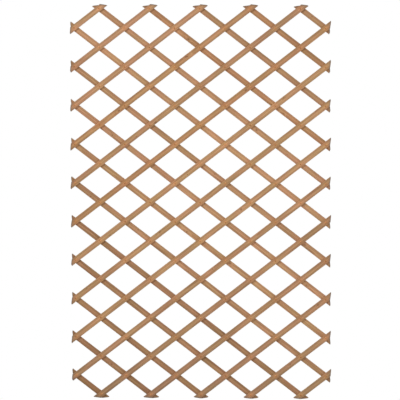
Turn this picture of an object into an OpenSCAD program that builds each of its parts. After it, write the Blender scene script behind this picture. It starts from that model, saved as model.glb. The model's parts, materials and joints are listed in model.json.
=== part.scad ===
// Expanding diamond trellis panel: two layers of sawn slats, pinned by a tubular rivet at every crossing.
// The panel stands in the XZ plane with +Z up. The wall lies behind it, at y = 0, and the front looks to -Y.
// The origin is the middle of the panel, on the axis of the centre rivet.

/* [Panel] */
// Diamonds across the panel
columns = 5; // [3:2:7]
// Diamonds up the panel
rows = 10; // [6:2:12]
// Distance between neighbouring rivets along a slat
rivet_pitch = 146.5; // [90:0.5:200]
// Angle of the slats to the horizontal as the panel stands open
open_angle = 37.8; // [20:0.1:60]

/* [Slats] */
// Width of a slat across its face
slat_w = 26; // [18:0.5:36]
// Thickness of a slat
slat_t = 8; // [5:0.5:14]
// Length of a front slat past its last rivet, along its middle line
front_tail = 27.5; // [24:0.5:45]
// Length of a back slat past its last rivet, along its middle line
back_tail = 24.5; // [24:0.5:45]
// How far the slats sit to the right along their length, so that their right ends are the longer ones
slat_shift = 2.9; // [0:0.1:4]
// Angle of the sawn ends to the length of the slat
mitre_angle = 45; // [40:1:60]
// Radius of the eased long edges
edge_round = 1.2; // [0.5:0.1:2.2]

/* [Rivets] */
// Diameter of the shank
shank_d = 3.9; // [3:0.1:6]
// How far the domed head stands out past the shank
head_lip = 1.3; // [0.8:0.1:3]
// Height of the domed head
head_h = 1.4; // [0.8:0.1:2.5]
// Thickness of the head at its rim
head_rim = 0.35; // [0.2:0.05:0.6]
// How far the rolled clinch stands out past the shank
clinch_lip = 1.1; // [0.9:0.1:2]
// Thickness of the rolled clinch
clinch_t = 1.2; // [0.8:0.1:1.6]
// Diameter of the hollow in the tail at its mouth
hollow_d = 2.7; // [1.5:0.1:2.8]
// Depth of the hollow in the tail
hollow_depth = 4.5; // [3:0.1:7]

/* [Fits] */
// Running gap between the front and the back layer
layer_gap = 0.25; // [0.1:0.05:1]
// Radial clearance between a shank and its bore
pivot_clear = 0.05; // [0.02:0.01:0.1]
// Clearance between a clinch and the floor of its seat
seat_clear = 0.15; // [0.1:0.05:0.5]
// Clearance between a clinch and the sloping side of its seat
seat_side_clear = 0.35; // [0.2:0.05:0.8]
// Depth at which a clinch lies below the back face
clinch_sink = 0.25; // [0.1:0.05:0.8]

/* [Hidden] */
$fn = 48;
// Extra length of a cutter past the face that it cuts
over = 0.5;
// Half a diamond, across and up
half_x = rivet_pitch * cos(open_angle);
half_z = rivet_pitch * sin(open_angle);
// Slats in each layer
slat_count = columns + rows;
// Column of the rivet at the middle of the panel, or of the nearest one where none is at the middle
centre_col = (slat_count + 1) % 2;
// How far a mitre runs along the slat on each side of the middle line
mitre_run = slat_w / 2 / tan(mitre_angle);
// Back faces of the two layers, and the front face of the front layer
back_y = 0;
front_y = -slat_t - layer_gap;
face_y = front_y - slat_t;
// Grip from the underside of the head to the back face
grip = back_y - face_y;
bore_d = shank_d + 2 * pivot_clear;
head_r = shank_d / 2 + head_lip;
dome_h = head_h - head_rim;
dome_r = (head_r * head_r + dome_h * dome_h) / (2 * dome_h);
// The rolled clinch is a ring of round section
clinch_r = shank_d / 2 + clinch_lip - clinch_t / 2;
clinch_at = grip - clinch_sink - clinch_t / 2;
// The seat is a cone about the clinch, with a side that slopes as a crushed edge does
seat_depth = clinch_sink + clinch_t + seat_clear;
seat_slope = 58;
seat_mouth_r = clinch_r + (clinch_t / 2 + seat_side_clear) / sin(seat_slope)
    + (clinch_sink + clinch_t / 2) / tan(seat_slope);
seat_floor_r = seat_mouth_r - seat_depth / tan(seat_slope);
// The hollow narrows towards its pointed bottom
hollow_floor_d = 0.75 * hollow_d;
hollow_point = hollow_floor_d / 4;
wood_front = [0.72, 0.56, 0.42];
wood_back = [0.66, 0.51, 0.38];
coppered = [0.58, 0.38, 0.22];

// Name of one of a set of pieces, with a number of two digits
function numbered(name, n) = str(name, "_", n < 10 ? "0" : "", n);

// Column less row is the same for every rivet of a front slat, from the top left (n = 1) to the bottom right
function line_of(n) = 2 * n - slat_count - 1;
function first_col(line) = max(-columns, line - rows);
function last_col(line) = min(columns, line + rows);

// Section of a slat across its length: y through the thickness and z across the face
module slat_section() {
    translate([-slat_t / 2, 0]) {
        square([slat_t - 2 * edge_round, slat_w], center = true);
        square([slat_t, slat_w - 2 * edge_round], center = true);
        for (side = [-1, 1], edge = [-1, 1])
            translate([side * (slat_t / 2 - edge_round), edge * (slat_w / 2 - edge_round)])
                circle(r = edge_round);
    }
}

// Outline of a slat in its own plane, with each end sawn along the edge of the panel that it meets
module slat_outline(line, tail, shift) {
    start = shift - tail;
    end = (last_col(line) - first_col(line)) * rivet_pitch + shift + tail;
    start_run = first_col(line) == -columns ? mitre_run : -mitre_run;
    end_run = last_col(line) == columns ? mitre_run : -mitre_run;
    polygon([
        [start - start_run, -slat_w / 2],
        [end - end_run, -slat_w / 2],
        [end + end_run, slat_w / 2],
        [start + start_run, slat_w / 2]
    ]);
}

// Bar with eased edges, mitred ends and a bore at every crossing, lying along +X from its first rivet
module slat_bar(line, tail, shift, seated) {
    crossings = last_col(line) - first_col(line);
    reach = tail + slat_shift + mitre_run + over;
    difference() {
        intersection() {
            translate([-reach, 0, 0]) rotate([90, 0, 90])
                linear_extrude(crossings * rivet_pitch + 2 * reach) slat_section();
            translate([0, over, 0]) rotate([90, 0, 0])
                linear_extrude(slat_t + 2 * over) slat_outline(line, tail, shift);
        }
        for (c = [0:crossings]) translate([c * rivet_pitch, over, 0]) rotate([90, 0, 0]) {
            cylinder(h = slat_t + 2 * over, d = bore_d);
            if (seated) cylinder(
                h = seat_depth + over,
                r1 = seat_mouth_r + over / tan(seat_slope),
                r2 = seat_floor_r
            );
        }
    }
}

// A bar turned to its slope and moved to its first crossing, rising to the right
module leaning_bar(line, tail, shift, seated) {
    col = first_col(line);
    translate([col * half_x, 0, (col - line) * half_z])
        rotate([0, -open_angle, 0]) slat_bar(line, tail, shift, seated);
}

module front_slat(n) {
    color(wood_front) translate([0, front_y, 0])
        leaning_bar(line_of(n), front_tail, slat_shift, seated = false);
}

module back_slat(n) {
    color(wood_back) translate([0, back_y, 0]) mirror([1, 0, 0])
        leaning_bar(line_of(n), back_tail, -slat_shift, seated = true);
}

// Half section of a semi-tubular rivet: radius along x, and depth behind the front face along y
module rivet_section() {
    difference() {
        union() {
            translate([0, -head_rim]) square([head_r, head_rim]);
            intersection() {
                translate([0, dome_r - head_h]) circle(r = dome_r);
                translate([0, -head_h]) square([head_r, dome_h]);
            }
            translate([0, -head_rim / 2]) square([shank_d / 2, clinch_at + head_rim / 2]);
            translate([clinch_r, clinch_at]) circle(d = clinch_t);
        }
        polygon([
            [0, clinch_at + over],
            [hollow_d / 2, clinch_at + over],
            [hollow_d / 2, clinch_at],
            [hollow_floor_d / 2, clinch_at - hollow_depth],
            [0, clinch_at - hollow_depth - hollow_point]
        ]);
    }
}

// Rivet through the crossing at a column and a row of half diamonds from the middle of the panel
module rivet(col, row) {
    color(coppered) translate([col * half_x, face_y, row * half_z])
        rotate([-90, 0, 0]) rotate_extrude() rivet_section();
}

// The rivets of one front slat, less the one at the middle of the panel
module rivet_row(n) {
    line = line_of(n);
    for (col = [first_col(line):last_col(line)])
        if (col != centre_col || line != centre_col) rivet(col, col - line);
}

module centre_rivet() {
    rivet(centre_col, 0);
}

for (n = [1:slat_count]) {
    front_slat(n);
    back_slat(n);
    rivet_row(n);
}
centre_rivet();
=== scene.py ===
"""Looks of the riveted diamond trellis panel: its sawn slats, set rivets, finishes, studio and camera.

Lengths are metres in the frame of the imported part: +X to the right, +Y into the wall and +Z up.
"""

import json
import logging
import math
from dataclasses import dataclass
from enum import Enum

import bpy
import numpy as np
from mathutils import Matrix, Vector

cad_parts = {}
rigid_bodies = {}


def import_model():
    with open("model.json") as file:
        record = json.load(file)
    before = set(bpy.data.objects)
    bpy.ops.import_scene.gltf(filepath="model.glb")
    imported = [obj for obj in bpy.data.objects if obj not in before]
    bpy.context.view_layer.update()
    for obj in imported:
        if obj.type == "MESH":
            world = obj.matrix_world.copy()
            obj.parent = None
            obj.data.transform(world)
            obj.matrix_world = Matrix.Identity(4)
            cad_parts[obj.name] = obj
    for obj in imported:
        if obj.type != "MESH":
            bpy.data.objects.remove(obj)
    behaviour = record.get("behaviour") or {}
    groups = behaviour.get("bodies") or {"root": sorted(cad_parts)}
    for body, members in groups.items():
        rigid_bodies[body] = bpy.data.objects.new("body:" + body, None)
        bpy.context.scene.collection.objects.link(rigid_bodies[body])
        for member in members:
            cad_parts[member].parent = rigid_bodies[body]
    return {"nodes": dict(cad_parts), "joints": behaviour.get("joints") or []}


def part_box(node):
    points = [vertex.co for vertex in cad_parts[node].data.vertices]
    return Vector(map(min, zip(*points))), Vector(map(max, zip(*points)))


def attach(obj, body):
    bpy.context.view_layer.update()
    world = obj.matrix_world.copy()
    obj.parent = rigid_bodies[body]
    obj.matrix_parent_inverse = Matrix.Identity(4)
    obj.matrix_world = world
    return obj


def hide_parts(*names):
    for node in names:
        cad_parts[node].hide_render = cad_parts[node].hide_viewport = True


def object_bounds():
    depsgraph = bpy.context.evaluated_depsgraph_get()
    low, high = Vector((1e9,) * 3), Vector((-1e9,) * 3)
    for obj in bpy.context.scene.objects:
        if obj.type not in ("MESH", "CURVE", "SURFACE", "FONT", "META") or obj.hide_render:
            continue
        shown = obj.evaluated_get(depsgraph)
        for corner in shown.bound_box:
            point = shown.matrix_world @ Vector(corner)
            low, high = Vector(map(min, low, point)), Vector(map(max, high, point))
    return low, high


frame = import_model()
CAD_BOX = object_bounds()

MM = 0.001
# Distance below which two places count as one
TOUCH = 1e-7
# Offsets that keep apart the draws of the back slats, of the rivets and of the sawn ends
BACK_SEED = 100
RIVET_SEED = 200
END_SEED = 1000
LOG = logging.getLogger("trellis")
Socket = bpy.types.NodeSocket
Colour = tuple[float, float, float, float]
Triple = tuple[float, float, float]
Span = tuple[float, float]


def screen(red: int, green: int, blue: int) -> Colour:
    """Linear colour of an 8-bit screen colour: a straight foot, and a power of 2.4 above it.

    Args:
        red, green, blue: levels from 0 to 255 as they show on a screen.

    Returns:
        The linear colour with an alpha of 1.
    """
    levels = np.array([red, green, blue]) / 255
    linear = np.where(levels <= 0.04045, levels / 12.92, ((levels + 0.055) / 1.055) ** 2.4)
    return (*linear.tolist(), 1.0)


def smooth(value: np.ndarray, low: float, high: float) -> np.ndarray:
    """Smooth step: 0 up to low, 1 from high on, and 3x^2 - 2x^3 of the share between.

    Args:
        value: numbers to be stepped.
        low, high: ends of the step.

    Returns:
        The stepped numbers, from 0 to 1.
    """
    share = np.clip((value - low) / (high - low), 0, 1)
    return share * share * (3 - 2 * share)


def drift(length: np.ndarray, rng: np.random.Generator, longest: float) -> np.ndarray:
    """Slow uneven drift along a slat: sines of drawn phase, each shorter and lower than the one before.

    Args:
        length: places along the slat.
        rng: the slat's own draw.
        longest: wavelength of the longest sine.

    Returns:
        Drift at each place, from about -1 to 1.
    """
    count, shorter, highest, lower = 4, 1.9, 0.5, 0.62
    octave = np.arange(count)
    phase = rng.uniform(0, 2 * math.pi, count)
    waves = np.sin(2 * math.pi * length[..., None] / longest * shorter**octave + phase)
    return waves @ (highest * lower**octave)


class Layer(Enum):
    """The two layers of slats."""

    FRONT = "front"
    BACK = "back"


class Board(Enum):
    """Tints of the boards that the slats were sawn from, as multipliers of the wood's own colour."""

    PALE = (1.11, 1.12, 1.12)
    ROSY = (1.075, 1.06, 1.09)
    STRAW = (1.03, 1.05, 1.02)
    TAN = (0.98, 0.98, 0.98)
    AMBER = (1.04, 0.99, 0.92)
    HONEY = (0.98, 0.94, 0.87)
    FAWN = (0.92, 0.92, 0.92)
    OCHRE = (0.91, 0.87, 0.80)
    BROWN = (0.83, 0.81, 0.79)
    UMBER = (0.70, 0.665, 0.60)


@dataclass(frozen=True)
class Lattice:
    """Places of the crossings, counted in half diamonds from the middle of the panel."""

    half_x: float
    half_z: float
    columns: int
    rows: int

    @classmethod
    def from_frame(cls) -> "Lattice":
        """Reads half a diamond from the pivot next to the middle one, and the counts from the panel's box.

        Returns:
            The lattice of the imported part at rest.
        """
        count = sum(name.startswith("front_slat_") for name in frame["nodes"])
        middle = f"front_{(count + 1) // 2:02d}"
        pivots = [joint["pos_m"] for joint in frame["joints"] if joint["parent"] == middle]
        half_x, _, half_z = min(place for place in pivots if place[0] > 0)
        columns = int(CAD_BOX[1].x // half_x)
        return cls(half_x, half_z, columns, count - columns)

    @property
    def count(self) -> int:
        """Slats in each layer."""
        return self.columns + self.rows

    @property
    def pitch(self) -> float:
        """Distance between neighbouring rivets along a slat."""
        return math.hypot(self.half_x, self.half_z)

    @property
    def angle(self) -> float:
        """Slope of the slats."""
        return math.atan2(self.half_z, self.half_x)

    def line(self, number: int) -> int:
        """Column less row of every rivet of a slat."""
        return 2 * number - self.count - 1

    def first_column(self, line: int) -> int:
        """Column of a slat's lowest rivet."""
        return max(-self.columns, line - self.rows)

    def last_column(self, line: int) -> int:
        """Column of a slat's highest rivet."""
        return min(self.columns, line + self.rows)


@dataclass(frozen=True)
class SetRivet:
    """Sizes of a semi-tubular rivet after setting, with depths measured from the front face of the panel.

    Attributes:
        rim_bevel: small bevel under the rim of the head.
        clinch_r, clinch_half: radius of the middle of the rolled ring, and half its thickness.
        dome_points, clinch_points: points along the arcs of the dome and of the clinch.
        segments: sides round the axis.
        most_struck: greatest share of the dome's height that setting has flattened.
        most_dented: greatest share of the radius by which the part behind the face is dented.
        sharp: angle in degrees past which an edge stays sharp.
    """

    shank_r: float = 1.95 * MM
    head_r: float = 3.25 * MM
    head_h: float = 1.4 * MM
    head_rim: float = 0.35 * MM
    rim_bevel: float = 0.12 * MM
    clinch_r: float = 2.45 * MM
    clinch_half: float = 0.6 * MM
    clinch_sink: float = 0.25 * MM
    hollow_r: float = 1.35 * MM
    hollow_floor_r: float = 1.0 * MM
    hollow_depth: float = 4.5 * MM
    hollow_point: float = 0.5 * MM
    dome_points: int = 7
    clinch_points: int = 11
    segments: int = 20
    most_struck: float = 0.16
    most_dented: float = 0.012
    sharp: float = 50

    def profile(self, grip: float) -> tuple[np.ndarray, np.ndarray]:
        """Half section from the top of the dome to the bottom of the hollow.

        The dome is an arc, its rim has a small bevel, and the clinch is most of a circle beside the shank.

        Args:
            grip: thickness of the two slats that the rivet holds.

        Returns:
            Radii and depths of the points, with both ends on the axis.
        """
        rise = self.head_h - self.head_rim
        dome_r = (self.head_r**2 + rise**2) / (2 * rise)
        lean = np.linspace(0, math.asin(self.head_r / dome_r), self.dome_points)
        clinch_at = grip - self.clinch_sink - self.clinch_half
        start = math.acos((self.shank_r - self.clinch_r) / self.clinch_half)
        turn = np.linspace(-start, math.pi, self.clinch_points)
        floor_at = clinch_at - self.hollow_depth
        radius = np.concatenate([
            dome_r * np.sin(lean),
            [self.head_r, self.head_r - self.rim_bevel, self.shank_r],
            self.clinch_r + self.clinch_half * np.cos(turn),
            [self.hollow_r, self.hollow_floor_r, 0],
        ])
        depth = np.concatenate([
            dome_r * (1 - np.cos(lean)) - self.head_h,
            [-self.rim_bevel, 0, 0],
            clinch_at + self.clinch_half * np.sin(turn),
            [clinch_at, floor_at, floor_at - self.hollow_point],
        ])
        return radius, depth


@dataclass(frozen=True)
class SlatCut:
    """Sizes to which every slat is sawn and bored, and how far its sawing strays inside them.

    The bores are drawn a little wide, so that the flats of their sixteen sides clear the turning shanks.

    Attributes:
        front_tail, back_tail: lengths past the last rivet, along the middle line.
        shift: how far the slats sit to the right along their length.
        ring_mid, ring_reach: last two rings about a bore, past which the face is plain.
        bore_ring: number of the ring that is the bore's wall.
        step: greatest distance between two cross sections.
        least_room: least distance between a section at a knot or chip and the one beside it.
        tail_steps: sections of a tail as shares of its length, closer together towards its end.
        mark_steps: sections about a knot or chip as shares of its reach.
        stray_width, stray_face, stray_arris: how far the sides, faces and arrises drift inwards.
        width_wave, face_wave, arris_wave: longest wavelengths of those drifts.
        arris_span: drifts at which an arris is whole and fully rubbed.
        arris_across, arris_deep: shares of the rubbing that go across and into the slat.
        chip_share, chip_curve: share of a chip that goes into the slat, and the power that shapes its ends.
        calm: distances from a rivet up to which nothing strays, and past which all of it does.
        calm_end: distance from the slat's end at which all of it strays.
        stray_tail, stray_lean: most that a tail falls short, and that a mitre leans off its line.
        tip_wear, low_tip_wear: mean wear of a tip, and of one that points down at the sides of the panel.
        wear_span: least and most share of that wear.
    """

    width: float = 26 * MM
    edge_round: float = 1.2 * MM
    front_tail: float = 27.5 * MM
    back_tail: float = 24.5 * MM
    shift: float = 2.9 * MM
    bore_r: float = 2.03 * MM
    seat_mouth_r: float = 4.1 * MM
    seat_floor_r: float = 3.1 * MM
    seat_depth: float = 1.6 * MM
    ring_mid: float = 6 * MM
    ring_reach: float = 7.6 * MM
    bore_ring: int = 2
    step: float = 8 * MM
    least_room: float = 0.5 * MM
    tail_steps: tuple[float, ...] = (0.22, 0.45, 0.66, 0.84, 0.95, 1)
    mark_steps: tuple[float, ...] = (-1, -0.6, -0.3, 0, 0.3, 0.6, 1)
    stray_width: float = 0.30 * MM
    stray_face: float = 0.14 * MM
    stray_arris: float = 0.45 * MM
    width_wave: float = 0.34
    face_wave: float = 0.21
    arris_wave: float = 0.12
    arris_span: Span = (-0.1, 0.9)
    arris_across: float = 0.7
    arris_deep: float = 0.5
    chip_share: float = 0.6
    chip_curve: float = 0.7
    calm: Span = (11 * MM, 30 * MM)
    calm_end: float = 12 * MM
    stray_tail: float = 2.2 * MM
    stray_lean: float = 0.06
    tip_wear: float = 3 * MM
    low_tip_wear: float = 7 * MM
    wear_span: Span = (0.5, 1.5)

    @property
    def flat(self) -> float:
        """Half the width of the flat face between the eased edges."""
        return self.width / 2 - self.edge_round

    @property
    def rings(self) -> np.ndarray:
        """Steps out from a bore's axis: the bore, the seat's floor and mouth, and out to the plain face."""
        seat = [self.seat_floor_r, self.seat_mouth_r]
        return np.array([self.bore_r / 2, self.bore_r, *seat, self.ring_mid, self.ring_reach])

    def face_lines(self) -> tuple[np.ndarray, np.ndarray]:
        """Lines along a face, from one 45 degree arris to the other, with their drop below the face.

        An eased edge is an arc in steps of 22.5 degrees, and the face takes the two steps next to it.

        Returns:
            Places across the slat, and drops below the face, which are 0 on the flat.
        """
        arc = np.radians([67.5, 45])
        plain = [(self.ring_reach + self.flat) / 2, self.flat]
        half = np.concatenate([self.rings, plain, self.flat + self.edge_round * np.cos(arc)])
        level = np.zeros(len(self.rings) + len(plain))
        drop = np.concatenate([level, self.edge_round * (1 - np.sin(arc))])
        return np.concatenate([-half[::-1], [0], half]), np.concatenate([drop[::-1], [0], drop])

    def side_lines(self, thickness: float) -> tuple[np.ndarray, np.ndarray]:
        """Lines along a narrow side, between the two 45 degree arrises.

        Args:
            thickness: thickness of the slat.

        Returns:
            Places across the slat and depths behind its front face.
        """
        low = math.radians(22.5)
        near, edge = self.flat + self.edge_round * math.cos(low), self.width / 2
        drop = self.edge_round * (1 - math.sin(low))
        depth = [drop, self.edge_round, thickness / 2, thickness - self.edge_round, thickness - drop]
        return np.array([near, edge, edge, edge, near]), np.array(depth)


@dataclass(frozen=True)
class SawnEnd:
    """One end of a slat: a mitre whose sharp tip has worn away.

    Attributes:
        place: where the mitre crosses the middle line, as a distance from the first rivet.
        lean: shift of the mitre along the slat per unit across it.
        outwards: -1 at the slat's lower end and 1 at its upper end.
        tip: how far the worn tip reaches past the place on the middle line.
        soft: how gently the mitre goes over into the worn tip.
    """

    place: float
    lean: float
    outwards: int
    tip: float
    soft: float = 1.8 * MM

    def offset(self, across: np.ndarray) -> np.ndarray:
        """Shift of the sawn face along the slat: the soft minimum of the mitre's line and the worn tip.

        The soft minimum of a and b is -s log(exp(-a / s) + exp(-b / s)), which rounds their corner.

        Args:
            across: places across the slat.

        Returns:
            Distances along the slat from the end's place on the middle line.
        """
        mitre = self.outwards * self.lean * across
        return -self.outwards * self.soft * np.logaddexp(-mitre / self.soft, -self.tip / self.soft)

    def inside(self, along: np.ndarray, across: np.ndarray) -> np.ndarray:
        """Distance of points from the sawn face, measured along the slat."""
        return self.outwards * (self.place + self.offset(across) - along)


@dataclass(frozen=True)
class GreyingAndShade:
    """How far the wood is greyed and darkened: grey end grain at the sawn tips, darker towards the slats'
    ends, and painted shade near the panel's top and foot.

    Attributes:
        low_end, high_end: grey share towards the lower and upper ends of the slats.
        top, foot: painted shade at the top and at the foot of the panel, where the light falls off, as a
            share of the grey colour.
        tip, tip_reach, tip_fall: grey share at a sawn face, how deep it goes, and how sharply it ends.
        end_dark_full, end_dark_none: distances from an end at which that darkening is full, and gone.
        top_foot_shade_from: share of half the panel's height at which the painted shade of its top and foot
            begins.
        kept_warm: share of that painted shade that is left off about a rivet, where the copper stain is.
    """

    low_end: float
    high_end: float
    top: float
    foot: float
    tip: float = 0.95
    tip_reach: float = 4.6 * MM
    tip_fall: float = 1.5
    end_dark_full: float = 14 * MM
    end_dark_none: float = 30 * MM
    top_foot_shade_from: float = 0.6
    kept_warm: float = 0.8

    def share(
        self, from_low: np.ndarray, from_high: np.ndarray, height: np.ndarray, stain: np.ndarray,
    ) -> np.ndarray:
        """Grey share of the colour, which holds the grey end grain and the painted shade: fresh wood is the
        product of what each cause leaves of it.

        Args:
            from_low, from_high: distances from the lower and from the upper sawn end.
            height: height above the middle of the panel, as a share of half the panel.
            stain: 1 about the rivets, where the copper stain keeps the painted shade of the top and foot
                off.

        Returns:
            Shares from 0, fresh and unshaded, to 1, grey.
        """
        nearest = np.maximum(np.minimum(from_low, from_high), 0)
        fresh = 1 - self.tip * np.exp(-(nearest / self.tip_reach) ** self.tip_fall)
        # darker towards the lower and upper ends of the slats
        for most, distance in ((self.low_end, from_low), (self.high_end, from_high)):
            fresh *= 1 - most * (1 - smooth(distance, self.end_dark_full, self.end_dark_none))
        # painted shade: the top and foot of the panel darkened towards grey, where the light falls off
        rim = np.where(height > 0, self.top, self.foot) * smooth(np.abs(height), self.top_foot_shade_from, 1)
        return 1 - fresh * (1 - rim * (1 - self.kept_warm * stain))


@dataclass(frozen=True)
class Growth:
    """Ranges from which the figure and the marks of each slat are drawn.

    Attributes:
        bay: part of the way from rivet to rivet in which knots and chips lie.
        knots_per_bay: mean number of knots between two rivets.
        knot_across: most that a knot lies off the middle line, in widths of the slat.
        knot_r, knot_long: radii of the knots, and their length over their width.
        knot_reach: how far the cross sections stand close about a knot, in radii.
        no_knot: distance in radii that stands for no knot near by.
        bend_wide, bend_long: width in radii, and length over width, of the bent grain about a knot.
        bend, swirl: how far the grain parts round a knot, and the growth rings that the knot adds.
        bays_per_chip: number of bays that share one chip of the arrises.
        chip_long, chip_deep: lengths and depths of the chips.
        lean: most that the board is turned about the slat's length, in radians.
        heart: distances of the tree's heart from the slat.
        stray, stray_wave: how far the heart's line strays, and the longest wavelength of that.
        slant: most that the heart's line leans off the slat, per unit of length.
        ring_wide: widths of the growth rings.
        stock: length of timber in which the slats lie apart, so that no two share their grain.
        tint: multipliers of the board's tint.
        stain_full, stain_none: distances from a rivet at which its warm stain is full, and gone.
    """

    bay: Span = (0.17, 0.83)
    knots_per_bay: float = 0.12
    knot_across: float = 0.3
    knot_r: Span = (1.4 * MM, 3.2 * MM)
    knot_long: float = 1.5
    knot_reach: float = 2.2
    no_knot: float = 9.0
    bend_wide: float = 1.3
    bend_long: float = 3.2
    bend: float = 0.75
    swirl: float = 1.6
    bays_per_chip: int = 3
    chip_long: Span = (5 * MM, 14 * MM)
    chip_deep: Span = (0.4 * MM, 1.1 * MM)
    lean: float = 1.2
    heart: Span = (15 * MM, 60 * MM)
    stray: float = 2.2 * MM
    stray_wave: float = 1.1
    slant: float = 7 * MM
    ring_wide: Span = (2.0 * MM, 3.6 * MM)
    stock: float = 40
    tint: Span = (0.985, 1.015)
    stain_full: float = 7 * MM
    stain_none: float = 19 * MM


def add_object(
    name: str, points: np.ndarray, faces: list[np.ndarray], sharp: float = 40,
) -> bpy.types.Object:
    """Makes an object at the origin from points and faces.

    Args:
        name: name of the piece.
        points: one row of x, y and z per vertex.
        faces: arrays of vertex numbers, one row per face.
        sharp: angle in degrees past which an edge stays sharp.

    Returns:
        The linked object.
    """
    mesh = bpy.data.meshes.new(name)
    mesh.from_pydata(points.tolist(), [], [row for block in faces for row in block.tolist()])
    mesh.polygons.foreach_set("use_smooth", np.ones(len(mesh.polygons), bool))
    mesh.set_sharp_from_angle(angle=math.radians(sharp))
    made = bpy.data.objects.new(name, mesh)
    bpy.context.scene.collection.objects.link(made)
    return made


def add_attribute(piece: bpy.types.Object, name: str, kind: str, values: np.ndarray) -> None:
    """Stores one value per vertex for the finishes to read.

    Args:
        piece: object that carries the values.
        name: name of the attribute.
        kind: FLOAT, FLOAT_VECTOR or FLOAT_COLOR.
        values: one row per vertex.
    """
    field = {"FLOAT": "value", "FLOAT_VECTOR": "vector", "FLOAT_COLOR": "color"}[kind]
    layer = piece.data.attributes.new(name, kind, "POINT")
    layer.data.foreach_set(field, np.ascontiguousarray(values, np.float32).ravel())


@dataclass
class Slat:
    """One sawn slat: a closed bar with eased edges, mitred ends, bores and, in the back layer, seats."""

    layer: Layer
    number: int
    board: Board
    lattice: Lattice
    cut: SlatCut
    growth: Growth
    greying_and_shade: GreyingAndShade

    def __post_init__(self) -> None:
        """Takes the slat's place from its CAD node and makes its draws."""
        low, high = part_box(self.node)
        self.front_y, self.thickness = low.y, high.y - low.y
        self.line = self.lattice.line(self.number)
        self.first = self.lattice.first_column(self.line)
        self.spans = self.lattice.last_column(self.line) - self.first
        self.rivets = self.lattice.pitch * np.arange(self.spans + 1)
        seed = self.number + (BACK_SEED if self.layer is Layer.BACK else 0)
        self.rng = np.random.default_rng(seed)
        self.low_end, self.high_end = self.draw_ends(np.random.default_rng(seed + END_SEED))
        self.knots = self.draw_knots()
        self.chips = self.draw_chips()

    @property
    def node(self) -> str:
        """Name of the CAD node that this slat stands for."""
        return f"{self.layer.value}_slat_{self.number:02d}"

    @property
    def body(self) -> str:
        """Name of the body that carries this slat."""
        return f"{self.layer.value}_{self.number:02d}"

    def draw_ends(self, rng: np.random.Generator) -> tuple[SawnEnd, SawnEnd]:
        """Draws the two sawn ends, each a little short of its full tail and worn at its tip.

        The tips that point down at the sides of the panel are knocked and worn the most.

        Args:
            rng: draw of the ends alone.

        Returns:
            The lower and the upper end.
        """
        cut, in_front = self.cut, self.layer is Layer.FRONT
        tail = cut.front_tail if in_front else cut.back_tail
        shift = cut.shift if in_front else -cut.shift
        at_side = (self.first == -self.lattice.columns, self.first + self.spans == self.lattice.columns)
        ends = []
        for outwards, rivet, on_side in zip((-1, 1), (0, self.rivets[-1]), at_side):
            reach = tail + outwards * shift - rng.uniform(0, cut.stray_tail)
            lean = (1 if on_side else -1) * (1 + rng.uniform(-cut.stray_lean, cut.stray_lean))
            wear = cut.low_tip_wear if on_side and outwards < 0 else cut.tip_wear
            tip = cut.width / 2 - wear * rng.uniform(*cut.wear_span)
            ends.append(SawnEnd(rivet + outwards * reach, lean, outwards, tip))
        return ends[0], ends[1]

    def between_rivets(self, count: int) -> np.ndarray:
        """Draws places along the slat that keep clear of its rivets.

        Args:
            count: how many places.

        Returns:
            Distances from the first rivet.
        """
        bay = self.rng.integers(0, max(self.spans, 1), count)
        return (bay + self.rng.uniform(*self.growth.bay, count)) * self.lattice.pitch

    def draw_knots(self) -> np.ndarray:
        """Draws the slat's knots.

        Returns:
            A row per knot: place along, place across, and radius.
        """
        growth = self.growth
        count = self.rng.poisson(growth.knots_per_bay * self.spans)
        across = self.rng.uniform(-growth.knot_across, growth.knot_across, count) * self.cut.width
        along = self.between_rivets(count)
        return np.column_stack([along, across, self.rng.uniform(*growth.knot_r, count)])

    def draw_chips(self) -> np.ndarray:
        """Draws the chips out of the slat's arrises.

        Returns:
            A row per chip: place along, length, depth, side across (-1 or 1) and face (0 front, 1 back).
        """
        count = 1 + self.spans // self.growth.bays_per_chip
        return np.column_stack([
            self.between_rivets(count),
            self.rng.uniform(*self.growth.chip_long, count),
            self.rng.uniform(*self.growth.chip_deep, count),
            self.rng.choice([-1, 1], count),
            self.rng.choice([0, 1], count),
        ])

    def nearest_rivet(self, along: np.ndarray) -> np.ndarray:
        """Place along the slat of the rivet nearest to each place."""
        return np.clip(np.round(along / self.lattice.pitch), 0, self.spans) * self.lattice.pitch

    def stations(self) -> np.ndarray:
        """Places of the cross sections.

        They stand close about rivets, knots and chips, in even steps between those, and closer again
        towards the end of each tail.

        Returns:
            Rising distances from the first rivet, from end to end of the middle line.
        """
        cut, pitch = self.cut, self.lattice.pitch
        ring = np.concatenate([-cut.rings[::-1], [0], cut.rings])
        steps = np.linspace(cut.ring_reach, pitch - cut.ring_reach, int(pitch / cut.step))[1:-1]
        tail, about = np.array(cut.tail_steps), np.array(cut.mark_steps)
        low_plain, high_plain = -cut.ring_reach, self.rivets[-1] + cut.ring_reach
        base = np.sort(np.concatenate([
            (self.rivets[:, None] + ring).ravel(),
            (self.rivets[:-1, None] + steps).ravel(),
            low_plain + (self.low_end.place - low_plain) * tail,
            high_plain + (self.high_end.place - high_plain) * tail,
        ]))
        extra = np.concatenate([
            (self.knots[:, :1] + self.growth.knot_reach * self.knots[:, 2:] * about).ravel(),
            (self.chips[:, :1] + self.chips[:, 1:2] * about).ravel(),
        ])
        extra = np.unique(np.round(extra / MM)) * MM
        after = np.clip(np.searchsorted(base, extra), 1, len(base) - 1)
        room = np.minimum(np.abs(extra - base[after - 1]), np.abs(base[after] - extra))
        return np.sort(np.concatenate([base, extra[room > cut.least_room]]))

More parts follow.
